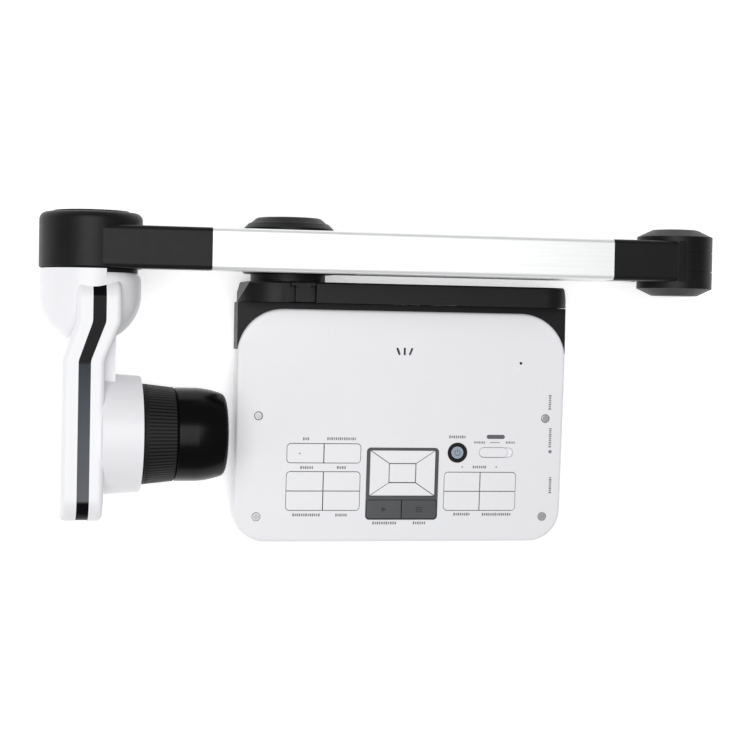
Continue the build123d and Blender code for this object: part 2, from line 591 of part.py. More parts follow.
for name, s in (("up_key", 1), ("down_key", -1)):
    pad_key(name, [(-HALF_W, s * HALF_CROSS), (HALF_W, s * HALF_CROSS), (ENTER_W, s * ENTER_H),
                   (-ENTER_W, s * ENTER_H)], (0, PAD_CROSS_V + s * 10.0))
for name, s in (("right_key", 1), ("left_key", -1)):
    pad_key(name, [(s * HALF_W, HALF_CROSS), (s * HALF_W, -HALF_CROSS), (s * ENTER_W, -ENTER_H),
                   (s * ENTER_W, ENTER_H)], (s * 14.6, PAD_CROSS_V))
push_key("enter_key", group_outline(0, PAD_CROSS_V, PAD_ENTER_W, PAD_ENTER_H, 0.4), 0, PAD_CROSS_V, 0.2)
for name, s in (("playback_key", -1), ("menu_key", 1)):
    low_u = s * (PAD_LOW_W + 0.4) / 4
    with BuildSketch(mode=Mode.PRIVATE) as half:
        add(group_outline(0, PAD_LOW_V, PAD_LOW_W, PAD_LOW_H, 1.7))
        with Locations((low_u, PAD_LOW_V)):
            Rectangle((PAD_LOW_W - 0.4) / 2, PAD_LOW_H, mode=Mode.INTERSECT)
    push_key(name, half.sketch, low_u, PAD_LOW_V, 0.5)
push_key("power_key", group_outline(POWER_U, POWER_V, 2 * POWER_KEY_R, 2 * POWER_KEY_R, POWER_KEY_R - 0.01),
         POWER_U, POWER_V, 0.3)

with BuildPart() as dpad_bezel:
    with BuildSketch(PANEL.offset(-4.4)):
        with Locations((0, PAD_V)):
            RectangleRounded(PAD_W, PAD_H, 2.6)
        with Locations((0, PAD_CROSS_V)):
            Rectangle(PAD_CROSS_W + 0.2, PAD_CROSS_H + 0.2, mode=Mode.SUBTRACT)
        with Locations((0, PAD_LOW_V)):
            RectangleRounded(PAD_LOW_W + 0.5, PAD_LOW_H + 0.5, 1.95, mode=Mode.SUBTRACT)
    extrude(amount=4.8)
    chamfer(dpad_bezel.faces().sort_by(Axis.Z)[-1].outer_wire().edges(), 0.3)
save(dpad_bezel.part, "dpad_bezel")

with BuildPart() as power_bezel:
    with BuildSketch(PANEL.offset(-4)):
        with Locations((POWER_U, POWER_V)):
            Circle(POWER_R)
            Circle(POWER_KEY_R + 0.3, mode=Mode.SUBTRACT)
    extrude(amount=4.6)
    fillet(power_bezel.edges().filter_by(GeomType.CIRCLE).group_by(Axis.Z)[-1], 0.4)
save(power_bezel.part, "power_bezel")

SLIDE = SLOT_W - KNOB_W - 2 * GAP
with BuildPart() as output_switch:
    knob_u = SLOT_U - SLIDE / 2
    with BuildSketch(PANEL.offset(-2.6)):
        with Locations((knob_u, SLOT_V)):
            SlotOverall(KNOB_W, SLOT_H - 2 * GAP)
    extrude(amount=2.3)
    fillet(output_switch.faces().sort_by(Axis.Z)[-1].edges(), 0.3)
    # shield that closes the slot from below, and the peg into the switch
    with BuildSketch(PANEL.offset(-2.6)):
        with Locations((knob_u, SLOT_V)):
            RectangleRounded(SLOT_W + 8, SLOT_H + 2, 1)
    extrude(amount=-0.8)
    with BuildSketch(PANEL.offset(-3.4)):
        with Locations((knob_u, SLOT_V)):
            Rectangle(1.2, 1.2)
    extrude(amount=-3.2)
save(output_switch.part, "output_switch")

# ---- arms -------------------------------------------------------------------------------------------
TUBE_LEFT, TUBE_RIGHT = -109.9, 136.4       # upper tube
LOW_LEFT, LOW_RIGHT = -18.0, 157.4          # lower tube
TUBE_R = 3.0
KNUCKLE_R, SLOT_R = 21.0, 21.5              # knuckle disc, and the yoke's slot round it
KNUCKLE_W, SLOT_W_ELBOW = 11.0, 11.7
FLAT_END, SEAM_START = -6.4, -1.4           # along X from the elbow axis, on top of the drum
BLOCK_END = ELBOW_X - ELBOW_R - 0.6         # arm blocks stop clear of the elbow drum
CAP_R, CAP_T = 13.2, 1.5


def tube(name, left, right, height):
    with BuildPart() as bar:
        with BuildSketch(facing_right(left)):
            with Locations((ARM_Y, height)):
                RectangleRounded(ARM_W, ARM_H, TUBE_R)
                RectangleRounded(ARM_W - 2 * TUBE_WALL, ARM_H - 2 * TUBE_WALL, 1.2, mode=Mode.SUBTRACT)
        extrude(amount=right - left)
    save(bar.part, name)


def spigot_face(height):
    with BuildSketch(mode=Mode.PRIVATE) as face:
        with Locations((ARM_Y, height)):
            RectangleRounded(ARM_W - 2 * TUBE_WALL, ARM_H - 2 * TUBE_WALL, 1.2)
            RectangleRounded(ARM_W - 2 * TUBE_WALL - 5, ARM_H - 2 * TUBE_WALL - 5, 1.2, mode=Mode.SUBTRACT)
    return face.sketch


def arm_face(height):
    with BuildSketch(mode=Mode.PRIVATE) as face:
        with Locations((ARM_Y, height)):
            RectangleRounded(ARM_W, ARM_H, TUBE_R)
    return face.sketch


tube("lower_arm_tube", LOW_LEFT, LOW_RIGHT, LOWER_Z)
tube("upper_arm_tube", TUBE_LEFT, TUBE_RIGHT, UPPER_Z)
lower_spigot, lower_face = spigot_face(LOWER_Z), arm_face(LOWER_Z)
upper_spigot, upper_face = spigot_face(UPPER_Z), arm_face(UPPER_Z)

DRUM_REAR = 92.4
with BuildPart() as shoulder_drum:
    with BuildSketch(facing_front(DRUM_REAR)):
        with Locations((SHOULDER_X, SHOULDER_Z)):
            Circle(SHOULDER_R)
    extrude(amount=DRUM_REAR - ARM_FRONT)
    chamfer(shoulder_drum.edges().filter_by(GeomType.CIRCLE).sort_by(Axis.Y)[0], 0.8)
    with BuildSketch(facing_right(SHOULDER_X)):
        add(lower_face)
    extrude(amount=LOW_LEFT - SHOULDER_X)
    with BuildSketch(facing_right(LOW_LEFT)):
        add(lower_spigot)
    extrude(amount=SPIGOT)
    with BuildSketch(facing_front(DRUM_REAR)):
        with Locations((SHOULDER_X, SHOULDER_Z)):
            Circle(SHOULDER_PIN_R + RUN)
    extrude(amount=DRUM_REAR - ARM_FRONT, mode=Mode.SUBTRACT)
    with BuildSketch(facing_front(DRUM_REAR)):
        with Locations((SHOULDER_X, SHOULDER_Z)):
            Circle(14)
    extrude(amount=DRUM_REAR - 84.0, mode=Mode.SUBTRACT)
save(shoulder_drum.part, "shoulder_drum")

with BuildPart() as shoulder_cap:
    with BuildSketch(Plane.XY):
        with BuildLine():
            Polyline((0, 0), (27.6, 0), (27.6, 0.6), (24.6, 3.6), (23.4, 3.9), (20.2, 6.6), (19.2, 7.1),
                     (0, 7.1), close=True)
        make_face()
    revolve(axis=Axis.Y)
save(Pos(SHOULDER_X, DRUM_REAR, SHOULDER_Z) * shoulder_cap.part, "shoulder_cap")

# elbow: the lower arm's knuckle turns between the cheeks of the upper arm's yoke
with BuildPart() as elbow_knuckle:
    with BuildSketch(facing_front(ARM_Y + KNUCKLE_W / 2)):
        with Locations((ELBOW_X, ELBOW_Z)):
            Circle(KNUCKLE_R)
        with BuildLine():
            Polyline((BLOCK_END, LOWER_Z - ARM_H / 2), (ELBOW_X - 9.4, LOWER_Z - ARM_H / 2),
                     (ELBOW_X - 5.8, ELBOW_Z - KNUCKLE_R + 0.9), (ELBOW_X, ELBOW_Z),
                     (BLOCK_END, LOWER_Z + ARM_H / 2 - 0.4), close=True)
        make_face()
        with Locations((ELBOW_X, ELBOW_Z)):
            Circle(ELBOW_PIN_R, mode=Mode.SUBTRACT)
    extrude(amount=KNUCKLE_W)
    with BuildSketch(facing_right(LOW_RIGHT)):
        add(lower_face)
    extrude(amount=BLOCK_END - LOW_RIGHT)
    with BuildSketch(facing_right(LOW_RIGHT)):
        add(lower_spigot)
    extrude(amount=-SPIGOT)
save(elbow_knuckle.part, "elbow_knuckle")

with BuildPart() as elbow_axle:
    with BuildSketch(facing_front(ELBOW_REAR - CAP_T - 0.4)):
        with Locations((ELBOW_X, ELBOW_Z)):
            Circle(ELBOW_PIN_R)
    extrude(amount=ELBOW_REAR - ELBOW_FRONT - 2 * CAP_T - 0.8)
    chamfer(elbow_axle.edges().filter_by(GeomType.CIRCLE), 0.6)
save(elbow_axle.part, "elbow_axle")

with BuildPart() as elbow_yoke:
    with BuildSketch(facing_front(ELBOW_REAR)):
        with Locations((ELBOW_X, ELBOW_Z)):
            Circle(ELBOW_R)
    extrude(amount=ELBOW_REAR - ELBOW_FRONT)
    ends = elbow_yoke.edges().filter_by(GeomType.CIRCLE).sort_by(Axis.Y)
    drum_faces = elbow_yoke.faces().sort_by(Axis.Y)
    chamfer(ends[0], ELBOW_R - CAP_R - 1.0, 4.4, reference=drum_faces[0])
    ends = elbow_yoke.edges().filter_by(GeomType.CIRCLE).sort_by(Axis.Y)
    chamfer(ends[-1], ELBOW_R - CAP_R - 1.0, 4.4, reference=elbow_yoke.faces().sort_by(Axis.Y)[-1])
    with BuildSketch(facing_right(TUBE_RIGHT)):
        add(upper_face)
    extrude(amount=ELBOW_X + FLAT_END - TUBE_RIGHT)
    with BuildSketch(facing_right(TUBE_RIGHT)):
        add(upper_spigot)
    extrude(amount=-SPIGOT)
    # slot for the knuckle: open below, closed over the top and down the right as far as the axis
    with BuildSketch(facing_front(ARM_Y + SLOT_W_ELBOW / 2)):
        with Locations((ELBOW_X, ELBOW_Z)):
            Circle(SLOT_R)
        with Locations((ELBOW_X - ELBOW_R - 2, ELBOW_Z - ELBOW_R - 2)):
            Rectangle(3 * ELBOW_R, ELBOW_R + 3.6, align=Align.MIN)
    extrude(amount=SLOT_W_ELBOW, mode=Mode.SUBTRACT)
    # shallow step behind the arm's flat, and a seam each side of the slot's cover
    with Locations((ELBOW_X + FLAT_END, ARM_Y, ELBOW_Z + ELBOW_R - 0.7)):
        Box(SEAM_START - FLAT_END, ARM_W, 4, align=(Align.MIN, Align.CENTER, Align.MIN), mode=Mode.SUBTRACT)
    for side in (-1, 1):
        with BuildSketch(facing_front(ARM_Y + side * SLOT_W_ELBOW / 2 + 0.3)):
            with Locations((ELBOW_X, ELBOW_Z)):
                Circle(ELBOW_R + 1)
                Circle(ELBOW_R - 0.6, mode=Mode.SUBTRACT)
            with Locations((ELBOW_X + SEAM_START, ELBOW_Z)):
                Rectangle(4 * ELBOW_R, 4 * ELBOW_R, align=(Align.MAX, Align.CENTER), mode=Mode.SUBTRACT)
        extrude(amount=0.6, mode=Mode.SUBTRACT)
    with BuildSketch(facing_front(ELBOW_REAR)):
        with Locations((ELBOW_X, ELBOW_Z)):
            Circle(ELBOW_PIN_R + RUN)
    extrude(amount=ELBOW_REAR - ELBOW_FRONT, mode=Mode.SUBTRACT)
    for y in (ELBOW_REAR, ELBOW_FRONT + CAP_T):
        with BuildSketch(facing_front(y)):
            with Locations((ELBOW_X, ELBOW_Z)):
                Circle(CAP_R - 0.6)
        extrude(amount=CAP_T, mode=Mode.SUBTRACT)
save(elbow_yoke.part, "elbow_yoke")

with BuildPart() as elbow_caps:
    for y in (ELBOW_REAR, ELBOW_FRONT + CAP_T):
        with BuildSketch(facing_front(y)):
            with Locations((ELBOW_X, ELBOW_Z)):
                Circle(CAP_R - 0.6)
        extrude(amount=CAP_T)
save(elbow_caps.part, "elbow_caps")

WRIST_REAR = 98.1
with BuildPart() as wrist_drum:
    with BuildSketch(facing_front(WRIST_REAR)):
        with Locations((WRIST_X, WRIST_Z)):
            Circle(WRIST_R)
    extrude(amount=WRIST_REAR - ARM_FRONT)
    rims = wrist_drum.edges().filter_by(GeomType.CIRCLE).sort_by(Axis.Y)
    fillet(rims[-1], 4.5)
    fillet(wrist_drum.edges().filter_by(GeomType.CIRCLE).sort_by(Axis.Y)[0], 1.0)
    with BuildSketch(facing_right(WRIST_X)):
        add(upper_face)
    extrude(amount=TUBE_LEFT - WRIST_X)
    with BuildSketch(facing_right(TUBE_LEFT)):
        add(upper_spigot)
    extrude(amount=SPIGOT)
    with BuildSketch(facing_front(WRIST_REAR)):
        with Locations((WRIST_X, WRIST_Z)):
            Circle(WRIST_PIN_R + RUN)
    extrude(amount=WRIST_REAR - ARM_FRONT, mode=Mode.SUBTRACT)
    with BuildSketch(facing_front(WRIST_REAR)):
        with Locations((WRIST_X, WRIST_Z)):
            Circle(22.5)
    extrude(amount=7, mode=Mode.SUBTRACT)
save(wrist_drum.part, "wrist_drum")

with BuildPart() as wrist_cap:
    with BuildSketch(facing_front(WRIST_REAR + 1.0)):
        with Locations((WRIST_X, WRIST_Z)):
            Circle(22.5)
    extrude(amount=3)
    fillet(wrist_cap.edges().filter_by(GeomType.CIRCLE).sort_by(Axis.Y)[-1], 0.7)
save(wrist_cap.part, "wrist_cap")

# ---- camera head --------------------------------------------------------------------------------------
PADDLE_R = 14.0
SHELL_WALL = 2.2


def paddle(near, far, inset=0.0):
    """Slab of the paddle between two stepped faces, each given as (x below the step, x above it)."""
    y_end, y_wrist = HEAD_Y[0] + inset, HEAD_Y[1] - inset
    step_low, step_high = JOG
    with BuildPart(mode=Mode.PRIVATE) as slab:
        with BuildSketch() as profile:
            with BuildLine():
                Polyline((near[1], y_wrist), (near[1], step_high), (near[0], step_low), (near[0], y_end),
                         (far[0], y_end), (far[0], step_low), (far[1], step_high), (far[1], y_wrist),
                         close=True)
            make_face()
            bends = profile.vertices().filter_by(
                lambda v: abs(v.Y - step_low) < 1 or abs(v.Y - step_high) < 1)
            fillet(bends, 9)
        extrude(amount=LENS_Z + HALF_H + 10)
        with BuildSketch(facing_right(-250)):
            with Locations(((y_end + y_wrist) / 2, LENS_Z)):
                RectangleRounded(y_wrist - y_end, 2 * (HALF_H - inset), PADDLE_R - inset)
        extrude(amount=150, mode=Mode.INTERSECT)
    return slab.part


def bowl(shrink=0.0):
    """Half-round housing over the wrist: a short drum that closes as an ellipse towards the lens."""
    reach, start = 28.8 - shrink, 50.0
    radius = DOME_R - shrink
    with BuildPart(mode=Mode.PRIVATE) as dome:
        with BuildSketch():
            with BuildLine():
                Line((0, start - reach), (0, DOME_REAR))
                Line((0, DOME_REAR), (radius, DOME_REAR))
                Line((radius, DOME_REAR), (radius, start))
                EllipticalCenterArc((0, start), radius, reach, start_angle=-90, arc_size=90)
            make_face()
        revolve(axis=Axis.Y)
    return Pos(WRIST_X, 0, WRIST_Z) * dome.part


back_skin = paddle((BACK_LOW, BACK_HIGH), (STRIP_LOW[0], STRIP_HIGH[0]))
back_core = paddle((BACK_LOW + SHELL_WALL, BACK_HIGH + SHELL_WALL), (STRIP_LOW[0] + 1, STRIP_HIGH[0] + 1),
                   SHELL_WALL)
face_skin = paddle((STRIP_LOW[1], STRIP_HIGH[1]), (FACE_LOW, FACE_HIGH))
face_core = paddle((STRIP_LOW[1] - 1, STRIP_HIGH[1] - 1), (FACE_LOW - SHELL_WALL, FACE_HIGH - SHELL_WALL),
                   SHELL_WALL)
strip_back, strip_face = (STRIP_LOW[0], STRIP_HIGH[0]), (STRIP_LOW[1], STRIP_HIGH[1])
strip_skin = paddle(strip_back, strip_face, 0.35)
strip_core = paddle((STRIP_LOW[0] - 1, STRIP_HIGH[0] - 1), (STRIP_LOW[1] + 1, STRIP_HIGH[1] + 1), 3.2)
back_side = paddle((-230, -230), (STRIP_LOW[0], STRIP_HIGH[0]), -20)
face_side = paddle((STRIP_LOW[1], STRIP_HIGH[1]), (-110, -110), -20)
dome_skin, dome_core = bowl(), bowl(SHELL_WALL)
strip_depth = paddle(strip_back, strip_face, -20)
with BuildPart() as bridge:
    add(dome_skin & strip_depth)
    add(dome_core, mode=Mode.SUBTRACT)
    add(paddle(strip_back, strip_face), mode=Mode.SUBTRACT)
    with Locations((WRIST_X, 51, WRIST_Z)):
        Box(80, 60, 80, align=(Align.CENTER, Align.MAX, Align.CENTER), mode=Mode.SUBTRACT)
rim_bridge = bridge.part

with BuildPart() as head_back_shell:
    add(back_skin)
    rim = head_back_shell.faces().filter_by(lambda face: face.normal_at().X < -0.8).edges()
    fillet([e for e in rim if abs(abs(e.center().Z - LENS_Z) - HALF_H) < 12], 3.4)
    add(dome_skin & back_side)
    add(back_core, mode=Mode.SUBTRACT)
    add(dome_core & back_side, mode=Mode.SUBTRACT)
    # the bowl's rim bridges the strip between the two shells
    add(rim_bridge)
save(head_back_shell.part, "head_back_shell")

BOSS_ROOT = STRIP_LOW[1]
LAMP_Y, LAMP_R, LAMP_DEPTH = 15.0, 6.5, 3.0
PLATEAU = FACE_HIGH - 2.0
FLANGE_R, FLANGE_X = 31.0, -160.0
with BuildPart() as raised_neck:
    with BuildSketch(facing_right(BOSS_ROOT)):
        with Locations((14, LENS_Z)):
            RectangleRounded(44, 34, 9)
    extrude(amount=PLATEAU - BOSS_ROOT)
neck = raised_neck.part
with BuildPart() as head_front_shell:
    add(face_skin)
    rim = head_front_shell.faces().filter_by(lambda face: face.normal_at().X > 0.8).edges()
    fillet([e for e in rim if abs(abs(e.center().Z - LENS_Z) - HALF_H) < 12], 3.0)
    add(dome_skin & face_side)
    # boss round the lens, standing off the face, and the raised neck between the boss and the bowl
    with BuildSketch(facing_right(BOSS_BACK)):
        with Locations((LENS_Y, LENS_Z)):
            Circle(BOSS_R)
    extrude(amount=BOSS_FACE - BOSS_BACK, taper=3.5)
    boss_rim = head_front_shell.edges().filter_by(GeomType.CIRCLE).sort_by(Axis.X)[-1]
    fillet(boss_rim, 7.5)
    add(neck & face_side)
    # hollow
    add(face_core, mode=Mode.SUBTRACT)
    add(dome_core & face_side, mode=Mode.SUBTRACT)
    with BuildSketch(facing_right(BOSS_ROOT - 1)):
        with Locations((LENS_Y, LENS_Z)):
            Circle(FLANGE_R)
    extrude(amount=FLANGE_X - BOSS_ROOT + 6, mode=Mode.SUBTRACT)
    with BuildSketch(facing_right(BOSS_ROOT)):
        with Locations((LENS_Y, LENS_Z)):
            Circle(BARREL_R)
    extrude(amount=60, mode=Mode.SUBTRACT)
    with BuildSketch(facing_right(BOSS_ROOT)):
        with Locations((LAMP_Y, LENS_Z)):
            Circle(LAMP_R)
    extrude(amount=40, mode=Mode.SUBTRACT)
    with BuildSketch(facing_right(PLATEAU - LAMP_DEPTH)):
        with Locations((LAMP_Y, LENS_Z)):
            RectangleRounded(17, 17, 1)
    extrude(amount=-30, mode=Mode.SUBTRACT)
save(head_front_shell.part, "head_front_shell")

with BuildPart() as edge_strip:
    add(strip_skin)
    add(strip_core, mode=Mode.SUBTRACT)
save(edge_strip.part, "edge_strip")

HUB_FRONT = 60.4
with BuildPart() as wrist_hub:
    with BuildSketch(facing_front(DOME_REAR)):
        with Locations((WRIST_X, WRIST_Z)):
            Circle(DOME_R - SHELL_WALL)
    extrude(amount=3)
    with BuildSketch(facing_front(95)):
        with Locations((WRIST_X, WRIST_Z)):
            Circle(WRIST_PIN_R)
    extrude(amount=95 - HUB_FRONT)
    with BuildSketch(facing_front(94.2)):
        with Locations((WRIST_X, WRIST_Z)):
            Circle(16)
    extrude(amount=2.2)
    with BuildSketch(facing_front(96)):
        with Locations((WRIST_X, WRIST_Z)):
            Circle(6)
    extrude(amount=60, mode=Mode.SUBTRACT)
save(wrist_hub.part, "wrist_hub")

# ---- lens ------------------------------------------------------------------------------------------------
BARREL_IN, BARREL_FRONT = 20.0, -108.0
GLASS_X = HOOD_FACE - 3.4
with BuildPart() as lens_barrel:
    with BuildSketch(facing_right(FLANGE_X)):
        with Locations((LENS_Y, LENS_Z)):
            Circle(BARREL_R)
    extrude(amount=BARREL_FRONT - FLANGE_X)
    with BuildSketch(facing_right(FLANGE_X)):
        with Locations((LENS_Y, LENS_Z)):
            Circle(FLANGE_R)
    extrude(amount=5)
    with BuildSketch(facing_right(FLANGE_X + 3)):
        with Locations((LENS_Y, LENS_Z)):
            Circle(BARREL_IN)
    extrude(amount=80, mode=Mode.SUBTRACT)
    with BuildSketch(facing_right(FLANGE_X)):
        with Locations((LENS_Y, LENS_Z)):
            Rectangle(9, 7)
    extrude(amount=3, mode=Mode.SUBTRACT)
save(lens_barrel.part, "lens_barrel")

RIB_COUNT, RIB_DEPTH, RIB_GAP = 84, 0.55, 0.9
RING_BACK_R, RING_FRONT_R = 30.2, 28.0
RING_BACK = BOSS_FACE + 0.4
with BuildPart() as focus_ring:
    with BuildSketch(facing_right(RING_BACK)):
        with Locations((LENS_Y, LENS_Z)):
            Circle(RING_BACK_R)
    with BuildSketch(facing_right(RING_FACE)):
        with Locations((LENS_Y, LENS_Z)):
            Circle(RING_FRONT_R)
    loft()
    chamfer(focus_ring.edges().filter_by(GeomType.CIRCLE), 0.6)
    with BuildSketch(facing_right(RING_BACK)):
        with Locations((LENS_Y, LENS_Z)):
            Circle(BARREL_R + 0.08)
    extrude(amount=40, mode=Mode.SUBTRACT)
    with BuildSketch(facing_right(RING_BACK + 2.2)):
        with Locations((LENS_Y, LENS_Z)):
            with PolarLocations(RING_BACK_R + 0.1, RIB_COUNT):
                Rectangle(2 * RIB_DEPTH, RIB_GAP)
    extrude(amount=RING_FACE - RING_BACK - 4.0, mode=Mode.SUBTRACT)
save(focus_ring.part, "focus_ring")

HOOD_R, MOUTH_R = 28.0, 23.7
with BuildPart() as lens_hood:
    with BuildSketch():
        with BuildLine():
            Polyline((HOOD_BACK, BARREL_R), (HOOD_BACK, HOOD_R - 0.6), (HOOD_BACK + 0.6, HOOD_R),
                     (HOOD_BACK + 12, HOOD_R))
            ThreePointArc((HOOD_BACK + 12, HOOD_R), (HOOD_BACK + 22, HOOD_R - 1.3),
                          (HOOD_FACE - 2.4, MOUTH_R + 1.2))
            ThreePointArc((HOOD_FACE - 2.4, MOUTH_R + 1.2), (HOOD_FACE - 0.5, MOUTH_R - 0.6),
                          (HOOD_FACE, MOUTH_R - 2.2))
            Polyline((HOOD_FACE, MOUTH_R - 2.2), (HOOD_FACE, BARREL_IN + 0.6), (GLASS_X, BARREL_IN - 0.2),
                     (GLASS_X - 2, BARREL_IN - 0.2), (GLASS_X - 2, BARREL_IN - 2),
                     (BARREL_FRONT, BARREL_IN - 2), (BARREL_FRONT, BARREL_R), (HOOD_BACK, BARREL_R))
        make_face()
    revolve(axis=Axis.X)
save(Pos(0, LENS_Y, LENS_Z) * lens_hood.part, "lens_hood")


def cap_arc(x_edge, radius, bulge):
    """Arc of a sphere's section, from the lens axis out to the lens edge."""
    sphere = (radius ** 2 + bulge ** 2) / (2 * abs(bulge))
    half_way = (sphere - (sphere ** 2 - radius ** 2 / 4) ** 0.5) * (1 if bulge > 0 else -1)
    return ThreePointArc((x_edge + bulge, 0), (x_edge + bulge - half_way, radius / 2), (x_edge, radius))


def lens(x, radius, bulge_front, bulge_back, edge):
    """A round lens: two spherical faces on a cylindrical edge, centred on the lens axis."""
    with BuildPart(mode=Mode.PRIVATE) as glass:
        with BuildSketch():
            with BuildLine():
                Line((x - bulge_back, 0), (x + edge + bulge_front, 0))
                cap_arc(x + edge, radius, bulge_front)
                Line((x + edge, radius), (x, radius))
                cap_arc(x, radius, -bulge_back)
            make_face()
        revolve(axis=Axis.X)
    return Pos(0, LENS_Y, LENS_Z) * glass.part


glasses = [lens(BARREL_FRONT - 9, BARREL_IN, 3.2, 1.0, 3.0),
           lens(BARREL_FRONT - 24, BARREL_IN, 2.4, 2.4, 3.0),
           lens(FLANGE_X + 14, BARREL_IN, 0.8, 2.8, 3.0)]
with BuildPart() as lens_elements:
    with BuildSketch(facing_right(GLASS_X - 2)):
        with Locations((LENS_Y, LENS_Z)):
            Circle(BARREL_IN - 0.2)
    extrude(amount=2)
    for glass in glasses:
        add(glass)
save(lens_elements.part, "lens_elements")

with BuildPart() as sensor_board:
    with BuildSketch(facing_right(FLANGE_X)):
        with Locations((LENS_Y, LENS_Z)):
            RectangleRounded(44, 36, 2)
    extrude(amount=-1.6)
    with BuildSketch(facing_right(FLANGE_X)):
        with Locations((LENS_Y, LENS_Z)):
            Rectangle(8.6, 6.6)
    extrude(amount=1.2)
    with BuildSketch(facing_right(FLANGE_X - 1.6)):
        with Locations((LENS_Y - 8, LENS_Z)):
            Rectangle(10, 10)
        with Locations((LENS_Y + 12, LENS_Z)):
            Rectangle(4, 16)
    extrude(amount=-1.8)
save(sensor_board.part, "sensor_board")

with BuildPart() as lamp_window:
    with BuildSketch(facing_right(PLATEAU - LAMP_DEPTH)):
        with Locations((LAMP_Y, LENS_Z)):
            Circle(LAMP_R)
    extrude(amount=LAMP_DEPTH - 0.2)
    fillet(lamp_window.edges().filter_by(GeomType.CIRCLE).sort_by(Axis.X)[-1], 0.8)
    with BuildSketch(facing_right(PLATEAU - LAMP_DEPTH)):
        with Locations((LAMP_Y, LENS_Z)):
            RectangleRounded(16, 16, 1)
    extrude(amount=-1.4)
save(lamp_window.part, "lamp_window")
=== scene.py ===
"""Document camera, folded flat: looks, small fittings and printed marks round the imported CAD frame."""
import json
import math

import bmesh
import bpy
from mathutils import Matrix, Vector


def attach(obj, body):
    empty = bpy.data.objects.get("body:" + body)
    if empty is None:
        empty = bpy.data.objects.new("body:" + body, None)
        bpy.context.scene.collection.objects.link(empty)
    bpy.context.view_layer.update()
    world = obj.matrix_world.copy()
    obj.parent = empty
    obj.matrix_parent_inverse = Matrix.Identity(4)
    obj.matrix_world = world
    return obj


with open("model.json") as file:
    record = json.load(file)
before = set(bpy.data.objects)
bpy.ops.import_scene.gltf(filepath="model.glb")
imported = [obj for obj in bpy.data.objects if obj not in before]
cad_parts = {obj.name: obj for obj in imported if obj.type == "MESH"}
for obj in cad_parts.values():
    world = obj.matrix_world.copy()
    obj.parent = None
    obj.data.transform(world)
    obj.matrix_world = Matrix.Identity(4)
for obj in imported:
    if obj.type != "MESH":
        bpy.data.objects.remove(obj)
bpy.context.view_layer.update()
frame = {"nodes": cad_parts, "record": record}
MM = 0.001
nodes = frame["nodes"]


# ---- procedural materials -----------------------------------------------------------------------
def new_material(name):
    mat = bpy.data.materials.new(name)
    mat.use_nodes = True
    tree = mat.node_tree
    shader = tree.nodes["Principled BSDF"]
    return mat, tree, shader


def link(tree, a, b):
    tree.links.new(a, b)


def noise(tree, scale, detail=3.0, stretch=(1, 1, 1), roughness=0.55):
    """Noise in the object's own space; scale is in features per metre."""
    coords = tree.nodes.new("ShaderNodeTexCoord")
    mapping = tree.nodes.new("ShaderNodeMapping")
    mapping.inputs["Scale"].default_value = stretch
    tex = tree.nodes.new("ShaderNodeTexNoise")
    tex.inputs["Scale"].default_value = scale
    tex.inputs["Detail"].default_value = detail
    tex.inputs["Roughness"].default_value = roughness
    link(tree, coords.outputs["Object"], mapping.inputs["Vector"])
    link(tree, mapping.outputs["Vector"], tex.inputs["Vector"])
    return tex.outputs["Fac"]


def ramp(tree, value, low, high, dark, light):
    node = tree.nodes.new("ShaderNodeValToRGB")
    node.color_ramp.elements[0].position = low
    node.color_ramp.elements[1].position = high
    node.color_ramp.elements[0].color = (*dark, 1)
    node.color_ramp.elements[1].color = (*light, 1)
    link(tree, value, node.inputs["Fac"])
    return node.outputs["Color"]


def spread(tree, value, low, high):
    node = tree.nodes.new("ShaderNodeMapRange")
    node.inputs["From Min"].default_value = 0.25
    node.inputs["From Max"].default_value = 0.75
    node.inputs["To Min"].default_value = low
    node.inputs["To Max"].default_value = high
    link(tree, value, node.inputs["Value"])
    return node.outputs["Result"]


def bump(tree, shader, height, strength, depth):
    node = tree.nodes.new("ShaderNodeBump")
    node.inputs["Strength"].default_value = strength
    node.inputs["Distance"].default_value = depth
    link(tree, height, node.inputs["Height"])
    link(tree, node.outputs["Normal"], shader.inputs["Normal"])


def moulded(name, colour, rough, grain=2600.0, relief=0.00004, mottle=0.04, coat=0.0, level=0.5):
    """Moulded plastic or rubber: soft mottling, fine grain in the surface, uneven polish."""
    mat, tree, shader = new_material(name)
    dark = tuple(c * (1 - mottle) for c in colour)
    light = tuple(min(1.0, c * (1 + mottle)) for c in colour)
    link(tree, ramp(tree, noise(tree, 45.0, 4.0), 0.3, 0.7, dark, light), shader.inputs["Base Color"])
    link(tree, spread(tree, noise(tree, 210.0, 3.0), rough - 0.03, rough + 0.03), shader.inputs["Roughness"])
    bump(tree, shader, noise(tree, grain, 2.0), 0.35, relief)
    shader.inputs["Coat Weight"].default_value = coat
    shader.inputs["Coat Roughness"].default_value = 0.08
    shader.inputs["Specular IOR Level"].default_value = level
    return mat


